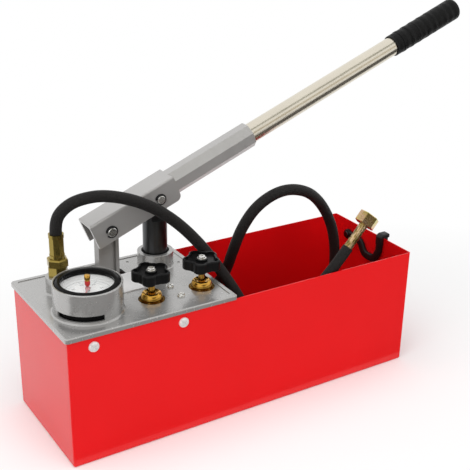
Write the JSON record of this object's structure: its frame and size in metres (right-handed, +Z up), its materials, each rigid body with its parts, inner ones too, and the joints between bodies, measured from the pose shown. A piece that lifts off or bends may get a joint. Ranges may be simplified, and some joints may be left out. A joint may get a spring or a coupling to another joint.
{
  "type": "hydrostatic test pump",
  "caption": "Hand plunger pump on a long open-topped steel tank, with gauge, star-knob valves, hooded lever, rubber strap and a flexible hose ending in a swivel nut.",
  "frame": {"origin": "centre of the tank's underside, on the floor", "axes": "+Z up, +X along the tank towards its open end and the lever's grip, -Y towards the side with the valves and gauge"},
  "size_m": [0.6402, 0.1657, 0.4582],
  "materials": {
    "tank_red": "gloss enamel",
    "cover_grey": "silver paint on a die casting",
    "lever_grey": "silver paint on a casting",
    "zinc_screw": "bright zinc",
    "dark_steel": "ground and blackened",
    "plunger_steel": "ground",
    "chrome_tube": "bright",
    "brass": "turned",
    "olive_brass": "passivated",
    "yellow_zinc": "yellow passivated zinc",
    "black_plastic": "matt",
    "black_rubber": "matt",
    "seal_rubber": "matt",
    "red_plastic": "gloss",
    "dial_white": "satin",
    "window": "clear",
    "case_steel": "satin black"
  },
  "bodies": {
    "body": {"tank": "tank_red", "cover_casting": "cover_grey", "cover_screws": "zinc_screw", "plate_screws": "zinc_screw", "link_base_pin": "zinc_screw", "gauge_case": "case_steel", "gauge_connector": "brass", "bourdon_tube": "brass", "gauge_movement": "brass", "gauge_dial": "dial_white", "gauge_window": "window", "gauge_bezel": "case_steel", "outlet_adapter": "olive_brass", "outlet_union_nut": "olive_brass", "pump_barrel": "brass", "guide_bush": "brass", "piston_seal": "seal_rubber", "piston_wiper": "seal_rubber", "manifold": "brass", "gallery_plug": "brass", "delivery_plug": "brass", "shutoff_bonnet": "brass", "relief_bonnet": "brass", "suction_valve_body": "brass", "suction_ball_stop": "brass", "suction_strainer": "zinc_screw", "lever_strap": "black_rubber", "strap_rivet": "zinc_screw", "hose_ferrule_outlet": "yellow_zinc", "hose": "black_rubber", "hose_tail": "yellow_zinc"},
    "link": {"fulcrum_link": "lever_grey"},
    "lever": {"lever_head": "lever_grey", "lever_tube": "chrome_tube", "lever_grip": "black_rubber", "pivot_pin": "zinc_screw", "pivot_pin_clips": "dark_steel", "piston_pin": "zinc_screw", "piston_pin_clips": "dark_steel"},
    "plunger": {"piston": "plunger_steel"},
    "shutoff_stem": {"shutoff_spindle": "brass"},
    "shutoff_handle": {"shutoff_knob": "black_plastic", "shutoff_knob_screw": "zinc_screw", "shutoff_knob_washer": "zinc_screw"},
    "relief_stem": {"relief_spindle": "brass"},
    "relief_handle": {"relief_knob": "black_plastic", "relief_knob_screw": "zinc_screw", "relief_knob_washer": "zinc_screw"},
    "needle": {"gauge_needle": "black_plastic"},
    "marker": {"set_pointer": "red_plastic", "set_pointer_knob": "brass"},
    "foot_ball": {"suction_ball": "zinc_screw"},
    "outlet_ball": {"delivery_ball": "zinc_screw"},
    "coupling_nut": {"end_nut": "yellow_zinc"}
  },
  "joints": [
    {"name": "lever_pivot", "type": "hinge", "parent": "link", "child": "lever", "pos_m": [-0.135, 0.045, 0.2265], "axis": [0, -1, 0], "range_deg": [-37.08, 14.59]},
    {"name": "link_pivot", "type": "hinge", "parent": "body", "child": "link", "pos_m": [-0.135, 0.045, 0.146], "axis": [0, -1, 0], "range_deg": [-2.61, 6.6]},
    {"name": "plunger_slide", "type": "slide", "parent": "body", "child": "plunger", "axis": [0, 0, 1], "range_m": [-0.03594, 0.01415]},
    {"name": "shutoff_turn", "type": "hinge", "parent": "shutoff_stem", "child": "shutoff_handle", "pos_m": [-0.119, -0.039, 0.1895], "axis": [0, 0, 1], "range_deg": [0, 540.2]},
    {"name": "shutoff_rise", "type": "slide", "parent": "body", "child": "shutoff_stem", "axis": [0, 0, 1], "range_m": [0, 0.00225]},
    {"name": "relief_turn", "type": "hinge", "parent": "relief_stem", "child": "relief_handle", "pos_m": [-0.053, -0.039, 0.1895], "axis": [0, 0, 1], "range_deg": [0, 540.2]},
    {"name": "relief_rise", "type": "slide", "parent": "body", "child": "relief_stem", "axis": [0, 0, 1], "range_m": [0, 0.00225]},
    {"name": "needle_sweep", "type": "hinge", "parent": "body", "child": "needle", "pos_m": [-0.192, -0.028, 0.19], "axis": [0, 0, -1], "range_deg": [0, 270], "stiffness_Nm_per_rad": 0.0002},
    {"name": "marker_turn", "type": "hinge", "parent": "body", "child": "marker", "pos_m": [-0.192, -0.028, 0.2], "axis": [0, 0, -1], "range_deg": [0, 270]},
    {"name": "foot_ball_lift", "type": "slide", "parent": "body", "child": "foot_ball", "axis": [0, 0, 1], "range_m": [0, 0.002]},
    {"name": "outlet_ball_lift", "type": "slide", "parent": "body", "child": "outlet_ball", "axis": [0, 0, 1], "range_m": [0, 0.002]},
    {"name": "coupling_nut_turn", "type": "hinge", "parent": "body", "child": "coupling_nut", "pos_m": [0.17165, -0.069, 0.21821], "axis": [0.6549, 0, 0.7557], "continuous": true}
  ],
  "couplings": [
    {"joint": "link_pivot", "follows": "lever_pivot", "ratio": -0.1775},
    {"joint": "plunger_slide", "follows": "lever_pivot", "m_per_rad": 0.0555},
    {"joint": "shutoff_turn", "follows": "shutoff_rise", "rad_per_m": 4188.8},
    {"joint": "relief_turn", "follows": "relief_rise", "rad_per_m": 4188.8}
  ]
}
